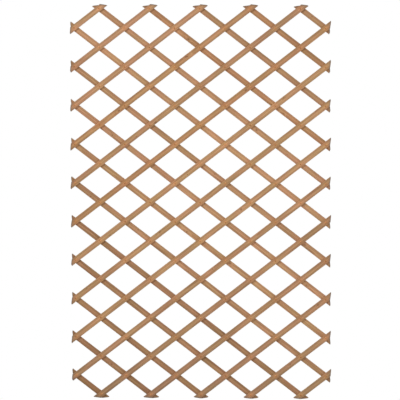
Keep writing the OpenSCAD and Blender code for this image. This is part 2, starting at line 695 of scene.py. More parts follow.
    def mitre(self, along: np.ndarray, across: np.ndarray) -> np.ndarray:
        """Shift of each cross section: the sawn face's own at the end, fading evenly to none at the rivet.

        Args:
            along: distances of the cross sections from the first rivet.
            across: places across the slat of the lines.

        Returns:
            Shift along the slat, with a row per cross section and a column per line.
        """
        shift = np.zeros((len(along), len(across)))
        for end, rivet in ((self.low_end, 0), (self.high_end, self.rivets[-1])):
            plain = rivet + end.outwards * self.cut.ring_reach
            share = np.clip((along - plain) / (end.place - plain), 0, 1)
            shift += share[:, None] * end.offset(across)
        return shift

    def surface(self) -> tuple[np.ndarray, list[np.ndarray], dict[str, np.ndarray]]:
        """Works out the slat in its own plane, as a loop of lines carried along its stations.

        Each point is (along, across, depth). The faces inside the bore rings are left out, and the two
        rings of a bore are joined by its wall. Each sawn end is a grid on the points of the end section.

        Returns:
            Points in the slat's plane, blocks of faces, and the values that the finish reads.
        """
        face_v, face_drop = self.cut.face_lines()
        side_v, side_d = self.cut.side_lines(self.thickness)
        lines, sides = len(face_v), len(side_v)
        loop_v = np.concatenate([face_v, side_v, face_v[::-1], -side_v[::-1]])
        loop_d = np.concatenate([face_drop, side_d, (self.thickness - face_drop)[::-1], side_d[::-1]])
        loop = np.arange(len(loop_v))
        on_back = (loop >= lines + sides) & (loop < 2 * lines + sides)
        station = self.stations()
        along, across, deep = self.bored_lines(station, loop_v, loop_d, (loop < lines) | on_back, on_back)
        self.stray(station, loop_v, loop_d, across, deep)

        index = np.arange(along.size).reshape(along.shape)
        after = np.roll(index, -1, axis=1)
        quads = np.stack([index[:-1], index[1:], after[1:], after[:-1]], axis=-1)
        keep = np.ones(quads.shape[:2], bool)
        middle, back_middle = lines // 2, lines + sides + lines // 2
        ring_at = np.searchsorted(station, self.rivets - TOUCH)
        inside = np.arange(-self.cut.bore_ring, self.cut.bore_ring)
        for column in (middle, back_middle):
            keep[ring_at[:, None, None] + inside[:, None], column + inside] = False
        bores = self.bore_walls(index, ring_at, middle, back_middle)
        caps, cap_points = self.end_grids(index, face_v, side_d)

        points = np.concatenate([np.stack([along, across, deep], axis=-1).reshape(-1, 3), cap_points])
        faces = [quads[keep], bores, *caps]
        values = self.finish_values(points, along.size)
        used = np.unique(np.concatenate([block.ravel() for block in faces]))
        number = np.zeros(len(points), int)
        number[used] = np.arange(len(used))
        values = {name: value[used] for name, value in values.items()}
        return points[used], [number[block] for block in faces], values

    def bored_lines(
        self, station: np.ndarray, loop_v: np.ndarray, loop_d: np.ndarray, on_face: np.ndarray,
        on_back: np.ndarray,
    ) -> tuple[np.ndarray, np.ndarray, np.ndarray]:
        """Carries the loop along the stations, with round bores and, in the back layer, dished seats.

        About a bore the square rings of points are drawn in to circles by the share of the greater to the
        full distance from its axis. A seat falls evenly from its mouth to its floor.

        Args:
            station: places of the cross sections.
            loop_v, loop_d: place across and depth of each line of the loop.
            on_face, on_back: True for the lines of the two faces, and for those of the back face.

        Returns:
            Place along, place across and depth of every point, a row per cross section.
        """
        cut = self.cut
        rivet = self.nearest_rivet(station)[:, None]
        from_rivet = station[:, None] - rivet
        square = np.maximum(np.abs(from_rivet), np.abs(loop_v))
        true = np.hypot(from_rivet, loop_v)
        full = np.clip((cut.ring_reach - square) / (cut.ring_reach - cut.seat_mouth_r), 0, 1)
        draw_in = 1 + full * (np.divide(square, true, out=np.ones_like(true), where=true > 0) - 1)
        ringed = on_face & (square < cut.ring_reach)
        straight = station[:, None] + self.mitre(station, loop_v)
        along = np.where(ringed, rivet + from_rivet * draw_in, straight)
        across = np.where(ringed, loop_v * draw_in, loop_v)
        deep = np.broadcast_to(loop_d, along.shape).copy()
        if self.layer is Layer.BACK:
            fall = (cut.seat_mouth_r - square) / (cut.seat_mouth_r - cut.seat_floor_r)
            deep -= np.where(on_back, cut.seat_depth * np.clip(fall, 0, 1), 0)
        return along, across, deep

    def stray(
        self, station: np.ndarray, loop_v: np.ndarray, loop_d: np.ndarray, across: np.ndarray,
        deep: np.ndarray,
    ) -> None:
        """Moves sides, faces and arrises inwards by slow drifts and chips, away from rivets and ends.

        Args:
            station: places of the cross sections.
            loop_v, loop_d: place across and depth of each line of the loop.
            across, deep: place across and depth of every point, which are changed.
        """
        cut, middle = self.cut, self.thickness / 2
        from_end = np.minimum(station - station[0], station[-1] - station)
        clear = smooth(np.abs(station - self.nearest_rivet(station)), *cut.calm)[:, None]
        clear = clear * smooth(from_end, 0, cut.calm_end)[:, None]
        side = np.sign(loop_v) * (np.abs(loop_v) >= cut.flat - TOUCH)
        face = np.sign(loop_d - middle) * (np.abs(loop_d - middle) > middle - cut.edge_round + TOUCH)
        for sign in (-1, 1):
            inwards = np.clip(0.5 + 0.5 * drift(station, self.rng, cut.width_wave), 0, 1)
            across -= sign * (side == sign) * cut.stray_width * clear * inwards[:, None]
            inwards = np.clip(0.5 + 0.5 * drift(station, self.rng, cut.face_wave), 0, 1)
            deep -= sign * (face == sign) * cut.stray_face * clear * inwards[:, None]
        corner = (side != 0) & (face != 0)
        for sign_v, sign_d in ((-1, -1), (-1, 1), (1, -1), (1, 1)):
            arris = corner & (side == sign_v) & (face == sign_d)
            rubbed = smooth(drift(station, self.rng, cut.arris_wave), *cut.arris_span)[:, None]
            bite = cut.stray_arris * clear * rubbed
            across -= arris * sign_v * bite * cut.arris_across
            deep -= arris * sign_d * bite * cut.arris_deep
        for place, length, depth, sign_v, behind in self.chips:
            sign_d = 1 if behind else -1
            arris = corner & (side == sign_v) & (face == sign_d)
            taper = np.clip(1 - np.abs(station - place) / length, 0, 1)[:, None] ** cut.chip_curve
            bite = depth * taper * clear
            across -= arris * sign_v * bite
            deep -= arris * sign_d * bite * cut.chip_share

    def bore_walls(self, index: np.ndarray, ring_at: np.ndarray, front: int, back: int) -> np.ndarray:
        """Joins the front and back ring of each bore, each a square about its rivet in the grid.

        Args:
            index: vertex number of each station and line.
            ring_at: station of each rivet.
            front, back: middle line of the front and of the back face.

        Returns:
            One row per face of the walls.
        """
        ring = self.cut.bore_ring
        run, hold = np.arange(-ring, ring), np.full(2 * ring, ring)
        step_u = np.concatenate([run, hold, -run, -hold])
        step_v = np.concatenate([-hold, run, hold, -run])
        near = index[ring_at[:, None] + step_u, front + step_v]
        far = index[ring_at[:, None] + step_u, back - step_v]
        wall = np.stack([near, np.roll(near, -1, 1), np.roll(far, -1, 1), far], axis=-1)
        return wall.reshape(-1, 4)

    def end_grids(
        self, index: np.ndarray, face_v: np.ndarray, side_d: np.ndarray,
    ) -> tuple[list[np.ndarray], np.ndarray]:
        """Closes the two sawn ends with grids whose edges are the points of the end sections.

        Args:
            index: vertex number of each station and line.
            face_v: places across of the lines of a face.
            side_d: depths of the lines of a side.

        Returns:
            A block of faces for each end, and the new points inside the two grids.
        """
        lines, sides = len(face_v), len(side_d)
        rim = np.zeros((sides + 2, lines), int)
        rim[0] = np.arange(lines)
        rim[1:-1, -1] = lines + np.arange(sides)
        rim[-1] = 2 * lines + sides - 1 - np.arange(lines)
        rim[1:-1, 0] = 2 * (lines + sides) - 1 - np.arange(sides)
        inner_d, inner_v = np.meshgrid(side_d, face_v[1:-1], indexing="ij")
        blocks, added = [], []
        for which, end in ((0, self.low_end), (-1, self.high_end)):
            grid = index[which][rim]
            first = index.size + len(added) * inner_v.size
            grid[1:-1, 1:-1] = first + np.arange(inner_v.size).reshape(inner_v.shape)
            face = np.stack([grid[:-1, :-1], grid[:-1, 1:], grid[1:, 1:], grid[1:, :-1]], axis=-1)
            face = face.reshape(-1, 4)
            blocks.append(face if which == 0 else face[:, ::-1])
            points = np.stack([end.place + end.offset(inner_v), inner_v, inner_d], axis=-1)
            added.append(points.reshape(-1, 3))
        return blocks, np.concatenate(added)

    def bend_about_knots(
        self, along: np.ndarray, across: np.ndarray,
    ) -> tuple[np.ndarray, np.ndarray, np.ndarray]:
        """Parts the grain round the knots, by a bell curve about each that is longer than it is wide.

        Args:
            along, across: places of the points.

        Returns:
            Distance from the nearest knot in radii, bent place across, and growth rings that the knots add.
        """
        growth = self.growth
        knot = np.full(len(along), growth.no_knot)
        bent = across.copy()
        swirl = np.zeros(len(along))
        for place, centre, radius in self.knots:
            past, beside = along - place, across - centre
            wide = growth.bend_wide * radius
            near = np.exp(-((past / growth.bend_long) ** 2 + beside**2) / (2 * wide**2))
            knot = np.minimum(knot, np.hypot(past / growth.knot_long, beside) / radius)
            bent -= beside * growth.bend * near
            swirl += growth.swirl * near
        return knot, bent, swirl

    def finish_values(self, points: np.ndarray, sides: int) -> dict[str, np.ndarray]:
        """Works out what the wood's finish reads at each point.

        The heart of the tree is a line that runs near the slat and slowly strays from it. A growth ring is
        counted by the distance from that line.

        Args:
            points: along, across and depth of each point.
            sides: number of points before those inside the sawn ends.

        Returns:
            grain, the place in the board that the slat was sawn from; ring, the count of growth rings;
            knot, the distance from the nearest knot in radii; edge, the share of the way to the edge;
            stain, 1 about the rivets, whose copper has warmed the wood; and end, the grey share, which is
            1 on the sawn ends and also carries painted shade at the panel's top and foot.
        """
        growth = self.growth
        along, across, deep = points.T
        knot, bent, swirl = self.bend_about_knots(along, across)
        lean = self.rng.uniform(-growth.lean, growth.lean)
        turned = bent * math.cos(lean) - deep * math.sin(lean)
        raised = bent * math.sin(lean) + deep * math.cos(lean)
        heart = self.rng.uniform(*growth.heart)
        stray = growth.stray * drift(along, self.rng, growth.stray_wave)
        stray += self.rng.uniform(-growth.slant, growth.slant) * along
        ring_wide = self.rng.uniform(*growth.ring_wide)
        ring = (np.hypot(turned, raised + heart) + stray) / ring_wide + swirl
        grain = self.rng.uniform(0, growth.stock, 3) + np.column_stack([along, turned, raised])
        height = (self.first - self.line + along / self.lattice.pitch) / self.lattice.rows
        edge = np.abs(across) / (self.cut.width / 2)
        from_rivet = np.hypot(along - self.nearest_rivet(along), across)
        stain = 1 - smooth(from_rivet, growth.stain_full, growth.stain_none)
        # end: grey end grain, and painted shade at the panel's top and foot
        end = self.greying_and_shade.share(
            self.low_end.inside(along, across), self.high_end.inside(along, across), height, stain,
        )
        end[sides:] = 1
        return {"grain": grain, "ring": ring, "knot": knot, "edge": edge, "stain": stain, "end": end}

    def build(self, finish: bpy.types.Material) -> bpy.types.Object:
        """Makes the slat in its place, dresses it and puts it on its body.

        Args:
            finish: the wood's material.

        Returns:
            The finished piece.
        """
        flat, faces, values = self.surface()
        turn = self.lattice.angle
        along, across, deep = flat.T
        start_x = self.first * self.lattice.half_x
        start_z = (self.first - self.line) * self.lattice.half_z
        points = np.column_stack([
            start_x + along * math.cos(turn) - across * math.sin(turn),
            self.front_y + deep,
            start_z + along * math.sin(turn) + across * math.cos(turn),
        ])
        if self.layer is Layer.BACK:
            points[:, 0] *= -1
            faces = [block[:, ::-1] for block in faces]
        piece = add_object(f"sawn_{self.node}", points, faces)
        add_attribute(piece, "grain", "FLOAT_VECTOR", values.pop("grain"))
        for name, value in values.items():
            add_attribute(piece, name, "FLOAT", value)
        tint = np.array(self.board.value) * self.rng.uniform(*self.growth.tint)
        add_attribute(piece, "tint", "FLOAT_COLOR", np.tile([*tint, 1], (len(points), 1)))
        piece.data.materials.append(finish)
        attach(piece, self.body)
        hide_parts(self.node)
        return piece


@dataclass
class RivetRow:
    """The rivets that ride on one body: those of a front slat, or the one at the middle of the panel."""

    node: str
    body: str
    places: np.ndarray
    rivet: SetRivet
    seed: int

    def build(self, finish: bpy.types.Material) -> bpy.types.Object:
        """Turns the rivet's half section round each place's axis, each dome struck a little differently.

        Args:
            finish: the rivets' material.

        Returns:
            The finished piece.
        """
        rivet, rng = self.rivet, np.random.default_rng(self.seed)
        low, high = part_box(self.node)
        face_y = low.y + rivet.head_h
        radius, depth = rivet.profile(high.y + rivet.clinch_sink - face_y)
        turn = np.arange(rivet.segments) * 2 * math.pi / rivet.segments
        count, rings = len(self.places), len(radius) - 2

        squash = 1 - rng.uniform(0, rivet.most_struck, (count, 1)) * (depth < -rivet.head_rim)
        spin = turn + rng.uniform(0, 2 * math.pi, (count, 1))
        behind = (depth > 0)[None, 1:-1, None]
        dent = 1 + rng.uniform(-rivet.most_dented, 0, (count, 1, rivet.segments)) * behind
        wide = radius[None, 1:-1, None] * dent
        shell = np.stack([
            self.places[:, None, None, 0] + wide * np.cos(spin)[:, None],
            np.broadcast_to(face_y + (depth * squash)[:, 1:-1, None], wide.shape),
            self.places[:, None, None, 1] + wide * np.sin(spin)[:, None],
        ], axis=-1).reshape(count, -1, 3)
        poles = np.stack([
            np.broadcast_to(self.places[:, :1], (count, 2)),
            face_y + (depth * squash)[:, [0, -1]],
            np.broadcast_to(self.places[:, 1:], (count, 2)),
        ], axis=-1)
        points = np.concatenate([shell, poles], axis=1)

        index = np.arange(rings * rivet.segments).reshape(rings, -1)
        after = np.roll(index, -1, axis=1)
        walls = np.stack([index[:-1], index[1:], after[1:], after[:-1]], axis=-1).reshape(-1, 4)
        top, bottom = index.size, index.size + 1
        fans = np.concatenate([
            np.column_stack([np.full(len(turn), top), index[0], after[0]]),
            np.column_stack([np.full(len(turn), bottom), after[-1], index[-1]]),
        ])
        start = np.arange(count)[:, None, None] * points.shape[1]
        faces = [(walls + start).reshape(-1, 4), (fans + start).reshape(-1, 3)]
        piece = add_object(f"set_{self.node}", points.reshape(-1, 3), faces, rivet.sharp)
        tarnish = np.repeat(rng.uniform(0, 1, count), points.shape[1])
        add_attribute(piece, "tarnish", "FLOAT", tarnish)
        piece.data.materials.append(finish)
        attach(piece, self.body)
        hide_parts(self.node)
        return piece


class Sheet:
    """Adds and links the nodes of one tree."""

    def __init__(self, tree: bpy.types.NodeTree) -> None:
        """Keeps the tree that the nodes go into."""
        self.tree = tree

    def feed(self, socket: Socket, value: object) -> None:
        """Links a socket to an input, or sets the input's own value.

        Args:
            socket: the input.
            value: an output to link, or a number or colour.
        """
        if isinstance(value, Socket):
            self.tree.links.new(value, socket)
        else:
            socket.default_value = value

    def add(
        self, kind: str, inputs: dict[str | int, object] | None = None, **settings: object,
    ) -> bpy.types.Node:
        """Adds a node.

        Args:
            kind: type of the node, without its prefix.
            inputs: what goes into its inputs, by name or number.
            settings: the node's own settings.

        Returns:
            The node.
        """
        node = self.tree.nodes.new(f"ShaderNode{kind}")
        for name, value in settings.items():
            setattr(node, name, value)
        for name, value in (inputs or {}).items():
            self.feed(node.inputs[name], value)
        return node

    def math(self, operation: str, *values: object, clamp: bool = False) -> Socket:
        """Result of a Math node on sockets or numbers."""
        return self.add("Math", dict(enumerate(values)), operation=operation, use_clamp=clamp).outputs[0]

    def vector(self, operation: str, *values: object) -> Socket:
        """Result of a Vector Math node on sockets or vectors."""
        return self.add("VectorMath", dict(enumerate(values)), operation=operation).outputs[0]

    def noise(self, place: Socket, stretch: Triple, detail: float = 2, rough: float = 0.5) -> Socket:
        """Noise with its own frequency along each axis.

        Args:
            place: coordinates in metres.
            stretch: cycles per metre along each axis.
            detail, rough: octaves and their fall.

        Returns:
            The noise, about 0.5.
        """
        scaled = self.vector("MULTIPLY", place, stretch)
        inputs = {"Vector": scaled, "Scale": 1.0, "Detail": detail, "Roughness": rough}
        return self.add("TexNoise", inputs).outputs[0]

    def step(self, value: object, low: float, high: float, start: float = 0, end: float = 1) -> Socket:
        """Smooth step of a value from one number to another.

        Args:
            value: the value that is stepped.
            low, high: where the step begins and ends.
            start, end: results before and after it.

        Returns:
            The stepped value.
        """
        inputs = {"Value": value, "From Min": low, "From Max": high, "To Min": start, "To Max": end}
        return self.add("MapRange", inputs, interpolation_type="SMOOTHSTEP").outputs[0]

    def mix(self, share: object, first: object, second: object, blend: str = "MIX") -> Socket:
        """Mix of two colours.

        Args:
            share: share of the second colour.
            first, second: the colours.
            blend: how they are mixed.

        Returns:
            The mixed colour.
        """
        node = self.add("Mix", data_type="RGBA", blend_type=blend)
        for socket, value in ((node.inputs[0], share), (node.inputs[6], first), (node.inputs[7], second)):
            self.feed(socket, value)
        return node.outputs[2]

    def scale(self, colour: object, factor: object) -> Socket:
        """Colour times a number."""
        return self.add("VectorMath", {0: colour, "Scale": factor}, operation="SCALE").outputs[0]

    def attribute(self, name: str) -> bpy.types.Node:
        """Node that reads a piece's own attribute."""
        return self.add("Attribute", attribute_name=name, attribute_type="GEOMETRY")


def open_group(
    name: str, inputs: dict[str, str], outputs: dict[str, str],
) -> tuple[Sheet, dict[str, Socket], bpy.types.Node]:
    """Starts a shader node group.

    Args:
        name: name of the group.
        inputs, outputs: types of its sockets by name, such as Float, Vector or Color.

    Returns:
        The sheet to add nodes with, the inputs by name, and the output node.
    """
    tree = bpy.data.node_groups.new(name, "ShaderNodeTree")
    for way, sockets in (("INPUT", inputs), ("OUTPUT", outputs)):
        for title, kind in sockets.items():
            tree.interface.new_socket(title, in_out=way, socket_type=f"NodeSocket{kind}")
    start, end = tree.nodes.new("NodeGroupInput"), tree.nodes.new("NodeGroupOutput")
    return Sheet(tree), {title: start.outputs[title] for title in inputs}, end


@dataclass(frozen=True)
class SawnGrain:
    """Grain that both woods share: growth rings, fibres, blotches, pores, knots and saw marks, with painted
    light and shade across each face.

    Attributes:
        wave, fibre, blotch, hue, pore, wobble: cycles per metre of the noises, along, across and through.
        saw, saw_stray: radians per metre of the saw marks, and how far they wander.
        ring_stray: how far the waves move a growth ring, in rings.
        late_rise, late_fall: parts of a ring over which its late wood comes and ends.
        late_share, fibre_share, least_share: what late wood, fibres and plain wood add to the late colour.
        green, red, hue_span: multipliers of the wood's two hues, and the noise between them.
        blotch_light: how far blotches lighten and darken the wood.
        pore_span, pore_dark: noise at which pores begin and are full, and how far they darken.
        middle, flank_shade, flank_shade_span: painted light and shade across a face, lighter in its middle
            and darker on its flanks, and where one ends.
        rim, rim_span: brightness of the rubbed edges, and where it begins and is full.
        knot_shade, knot_shade_span: brightness about a knot, and the radii over which it fades.
        copper: multiplier of the wood about the rivets.
        knot_full, knot_span: share of the heart's colour in a knot, and the radii over which it ends.
        knot_dark, knot_pale, knot_rings: the two colours of a knot, and radians per radius of its rings.
        knot_mean, knot_swing: mean share of the pale colour, and how far the rings change it.
        end_late, end_span: most late wood that shows through the grey, and the fibres at which it does.
        rough, rough_fibre: roughness of the wood, and what the fibres add.
        fibre_height, late_height, saw_height, pore_height: heights that the bump is made of.
    """

    wave: Triple = (5, 90, 90)
    fibre: Triple = (12, 1400, 1000)
    blotch: Triple = (7, 30, 30)
    hue: Triple = (11, 45, 45)
    pore: Triple = (70, 2500, 2500)
    wobble: Triple = (25, 60, 60)
    saw: float = 1750.0
    saw_stray: float = 5.0
    ring_stray: float = 0.9
    late_rise: Span = (0.25, 0.85)
    late_fall: Span = (0.9, 1.0)
    late_share: float = 0.75
    fibre_share: float = 0.9
    least_share: float = 0.05
    green: Colour = (0.968, 1.012, 0.943, 1)
    red: Colour = (1.036, 0.983, 1.008, 1)
    hue_span: Span = (0.36, 0.64)
    blotch_light: float = 0.75
    pore_span: Span = (0.66, 0.75)
    pore_dark: float = 0.16
    middle: float = 1.09
    flank_shade: float = 0.87
    flank_shade_span: Span = (0.0, 0.55)
    rim: float = 1.09
    rim_span: Span = (0.6, 1.0)
    knot_shade: float = 0.82
    knot_shade_span: Span = (1.0, 2.4)
    copper: Colour = (1.1, 1.0, 0.9, 1)
    knot_full: float = 0.8
    knot_span: Span = (0.7, 1.0)
    knot_dark: Colour = screen(118, 76, 48)
    knot_pale: Colour = screen(148, 98, 62)
    knot_rings: float = 22.0
    knot_mean: float = 0.4
    knot_swing: float = 0.2
    end_late: float = 0.5
    end_span: Span = (0.4, 0.85)
    rough: float = 0.58
    rough_fibre: float = 0.22
    fibre_height: float = 0.8
    late_height: float = 0.5
    saw_height: float = 0.12
    pore_height: float = -0.6

    def build(self) -> bpy.types.NodeTree:
        """Makes the node group: a late share of the colour, its painted light and shade, its stains and
        grey, and the bump's height.

        Returns:
            A group that gives the wood's colour, roughness and height.
        """
        sheet, given, end = open_group(
            "sawn_grain",
            {"Grain": "Vector", "Early": "Color", "Late": "Color", "Weathered": "Color", "Tint": "Color",
             "Figure": "Float", "Ring": "Float", "Knot": "Float", "Edge": "Float", "Stain": "Float",
             "End": "Float"},
            {"Colour": "Color", "Roughness": "Float", "Height": "Float"},
        )
        grain = given["Grain"]
        wave = sheet.noise(grain, self.wave, detail=2, rough=0.55)
        fibre = sheet.noise(grain, self.fibre, detail=3, rough=0.6)
        blotch = sheet.noise(grain, self.blotch, detail=3, rough=0.6)
        hue = sheet.noise(grain, self.hue, detail=2)
        pores = sheet.step(sheet.noise(grain, self.pore, detail=0), *self.pore_span)
        phase = sheet.math("FRACT", sheet.math("MULTIPLY_ADD", wave, self.ring_stray, given["Ring"]))
        fall = sheet.step(phase, *self.late_fall, 1, 0)
        late = sheet.math("MULTIPLY", sheet.step(phase, *self.late_rise), fall)

        fine = sheet.math("SUBTRACT", fibre, 0.5)
        share = sheet.math("MULTIPLY_ADD", fine, self.fibre_share, self.least_share)
        share = sheet.math("MULTIPLY_ADD", late, self.late_share, share)
        share = sheet.math("MULTIPLY", share, given["Figure"], clamp=True)
        wood = sheet.mix(share, given["Early"], given["Late"])
        wood = sheet.mix(1.0, wood, given["Tint"], "MULTIPLY")
        hues = sheet.mix(sheet.step(hue, *self.hue_span), self.green, self.red)
        wood = sheet.mix(1.0, wood, hues, "MULTIPLY")
        light = sheet.math("MULTIPLY_ADD", sheet.math("SUBTRACT", blotch, 0.5), self.blotch_light, 1.0)
        for shade in (
            sheet.math("MULTIPLY_ADD", pores, -self.pore_dark, 1.0),
            # painted shade: each face lighter in its middle and darker on its flanks, as light falls across
            # a rounded slat
            sheet.step(given["Edge"], *self.flank_shade_span, self.middle, self.flank_shade),
            sheet.step(given["Edge"], *self.rim_span, 1, self.rim),
            sheet.step(given["Knot"], *self.knot_shade_span, self.knot_shade, 1),
        ):
            light = sheet.math("MULTIPLY", light, shade)
        wood = sheet.scale(wood, light)
        wood = sheet.mix(given["Stain"], wood, sheet.mix(1.0, wood, self.copper, "MULTIPLY"))

        core = sheet.step(given["Knot"], *self.knot_span, self.knot_full, 0)
        circles = sheet.math("SINE", sheet.math("MULTIPLY", given["Knot"], self.knot_rings))
        pale = sheet.math("MULTIPLY_ADD", circles, self.knot_swing, self.knot_mean)
        wood = sheet.mix(core, wood, sheet.mix(pale, self.knot_dark, self.knot_pale))
        through = sheet.step(fibre, *self.end_span, 0, self.end_late)
        grey = sheet.mix(through, given["Weathered"], given["Late"])
        # End: grey end grain on the sawn ends, and painted shade at the panel's top and foot
        wood = sheet.mix(given["End"], wood, grey)

        along = sheet.add("SeparateXYZ", {0: grain}).outputs[0]
        wobble = sheet.math("MULTIPLY", sheet.noise(grain, self.wobble, detail=1), self.saw_stray)
        marks = sheet.math("SINE", sheet.math("MULTIPLY_ADD", along, self.saw, wobble))
        height = sheet.math("MULTIPLY", late, self.late_height)
        for relief, amount in (
            (fibre, self.fibre_height),
            (marks, self.saw_height),
            (pores, self.pore_height),
        ):
            height = sheet.math("MULTIPLY_ADD", relief, amount, height)
        rough = sheet.math("MULTIPLY_ADD", fibre, self.rough_fibre, self.rough)
        for title, value in (("Colour", wood), ("Roughness", rough), ("Height", height)):
            sheet.feed(end.inputs[title], value)
        return sheet.tree


@dataclass(frozen=True)
class WoodFinish:
    """Dip-stained sawn softwood.

    Attributes:
        early, late, grey_and_shade_colour: colours of early wood, late wood, and the grey of the sawn ends,
            which is also painted as shade at the panel's top and foot.
        figure: how strongly the late wood shows.
    """

    name: str
    early: Colour
    late: Colour
    grey_and_shade_colour: Colour
    figure: float = 0.62
    bump: float = 0.35
    bump_depth: float = 0.25 * MM
    specular: float = 0.22

    def build(self, grain: bpy.types.NodeTree) -> bpy.types.Material:
        """Makes the material.

        Args:
            grain: the shared group of the sawn grain.

        Returns:
            The material.
        """
        material = bpy.data.materials.new(self.name)
        material.use_nodes = True
        sheet = Sheet(material.node_tree)
        shader = material.node_tree.nodes["Principled BSDF"]
        group = sheet.add("Group", {
            "Early": self.early, "Late": self.late, "Weathered": self.grey_and_shade_colour, "Figure": self.figure,
            "Grain": sheet.attribute("grain").outputs["Vector"],
            "Tint": sheet.attribute("tint").outputs["Color"],
        }, node_tree=grain)
        for title in ("Ring", "Knot", "Edge", "Stain", "End"):
            sheet.feed(group.inputs[title], sheet.attribute(title.lower()).outputs["Fac"])
        bump = sheet.add("Bump", {
            "Strength": self.bump, "Distance": self.bump_depth, "Height": group.outputs["Height"],
        })
        sheet.feed(shader.inputs["Base Color"], group.outputs["Colour"])
        sheet.feed(shader.inputs["Roughness"], group.outputs["Roughness"])
        sheet.feed(shader.inputs["Normal"], bump.outputs[0])
        shader.inputs["Specular IOR Level"].default_value = self.specular
        return material


@dataclass(frozen=True)
class RivetFinish:
    """Coppered steel that has dulled to brown, more on some rivets than on others.

    Attributes:
        cloud, scratch: cycles per metre of the dull film's clouds and of the scratches.
        aged, film_span: what a rivet's own age adds to the clouds, and where the film begins and is full.
        rough, rough_film: roughness of the bright metal, and what the film adds.
    """

    name: str
    bright: Colour
    dull: Colour
    cloud: Triple = (420, 420, 420)
    scratch: Triple = (2600, 900, 2600)
    aged: float = 0.35
    film_span: Span = (0.42, 0.92)
    rough: float = 0.34
    rough_film: float = 0.3
    bump: float = 0.25
    bump_depth: float = 0.05 * MM
    metallic: float = 0.9

    def build(self) -> bpy.types.Material:
        """Makes the material.

        Returns:
            The material.
        """
        material = bpy.data.materials.new(self.name)
        material.use_nodes = True
        sheet = Sheet(material.node_tree)
        shader = material.node_tree.nodes["Principled BSDF"]
        place = sheet.add("TexCoord").outputs["Object"]
        cloud = sheet.noise(place, self.cloud, detail=3, rough=0.6)
        scratch = sheet.noise(place, self.scratch, detail=2)
        age = sheet.attribute("tarnish").outputs["Fac"]
        film = sheet.step(sheet.math("MULTIPLY_ADD", age, self.aged, cloud), *self.film_span)
        rough = sheet.math("MULTIPLY_ADD", film, self.rough_film, self.rough)
        bump = sheet.add("Bump", {"Strength": self.bump, "Distance": self.bump_depth, "Height": scratch})
        sheet.feed(shader.inputs["Base Color"], sheet.mix(film, self.bright, self.dull))
        sheet.feed(shader.inputs["Roughness"], rough)
        sheet.feed(shader.inputs["Normal"], bump.outputs[0])
        shader.inputs["Metallic"].default_value = self.metallic
        return material


@dataclass
class Panel:
    """The whole trellis: two layers of slats and the rivets that pin them."""

    lattice: Lattice
    cut: SlatCut
    growth: Growth
    rivet: SetRivet

    def boards(self, layer: Layer) -> list[Board]:
        """Boards of a layer's slats, from its top corner to its bottom one.

        Args:
            layer: the layer.

        Returns:
            A board for each slat.
        """
        pale, rosy, straw, tan, amber, honey, fawn, ochre, brown, umber = Board
        if layer is Layer.FRONT:
            return [
                pale, rosy, rosy, amber, tan,
                honey, straw, straw, straw, tan,
                fawn, fawn, tan, tan, straw,
            ]
        return [
            tan, ochre, fawn, honey, rosy,
            pale, tan, rosy, straw, tan,
            brown, brown, brown, brown, umber,
        ]

    def build(self) -> list[bpy.types.Object]:
        """Builds and dresses every slat and rivet.

        Returns:
            The pieces.
        """
        grain = SawnGrain().build()
        # third colour: grey of the sawn ends, also used as painted shade at the panel's top and foot
        front = WoodFinish("front_wood", screen(188, 145, 107), screen(149, 106, 73), screen(102, 91, 82))
        back = WoodFinish("back_wood", screen(187, 143, 105), screen(147, 103, 70), screen(108, 96, 85))
        # Front layer: grey tips, darker slat ends, and painted shade at the panel's top and foot. Back
        # layer: grey tips only.
        front_grey_and_shade = GreyingAndShade(low_end=0.24, high_end=0.08, top=0.12, foot=0.23)
        back_grey_tips = GreyingAndShade(low_end=0, high_end=0, top=0, foot=0)
        pieces = []
        for layer, finish, greying_and_shade in (
            (Layer.FRONT, front, front_grey_and_shade),
            (Layer.BACK, back, back_grey_tips),
        ):
            material = finish.build(grain)
            for number, board in enumerate(self.boards(layer), start=1):
                slat = Slat(layer, number, board, self.lattice, self.cut, self.growth, greying_and_shade)
                pieces.append(slat.build(material))
        coppered = RivetFinish("rivet_metal", screen(180, 122, 76), screen(150, 98, 58)).build()
        for number in range(1, self.lattice.count + 1):
            places = self.row_places(number)
            away = places[np.hypot(*places.T) > self.rivet.head_r]
            node, body = f"rivet_row_{number:02d}", f"front_{number:02d}"
            row = RivetRow(node, body, away, self.rivet, RIVET_SEED + number)
            pieces.append(row.build(coppered))
        middle = RivetRow("centre_rivet", "centre", np.zeros((1, 2)), self.rivet, RIVET_SEED)
        pieces.append(middle.build(coppered))
        return pieces

    def row_places(self, number: int) -> np.ndarray:
        """Places of the rivets along a front slat.

        Args:
            number: number of the slat.

        Returns:
            A row of x and z for each rivet.
        """
        line = self.lattice.line(number)
        column = np.arange(self.lattice.first_column(line), self.lattice.last_column(line) + 1)
        return np.column_stack([column * self.lattice.half_x, (column - line) * self.lattice.half_z])


@dataclass(frozen=True)
class Lamp:
    """A soft square lamp aimed at a point of the panel."""

    name: str
    place: Triple
    aim: Triple
    size: float
    power: float

    def build(self) -> None:
        """Hangs the lamp, out of the camera's sight."""
        data = bpy.data.lights.new(self.name, "AREA")
        data.size, data.energy = self.size, self.power
        lamp = bpy.data.objects.new(self.name, data)
        lamp.location = self.place
        lamp.rotation_mode = "QUATERNION"
        lamp.rotation_quaternion = (Vector(self.aim) - Vector(self.place)).to_track_quat("-Z", "Y")
        lamp.visible_camera = False
        bpy.context.scene.collection.objects.link(lamp)


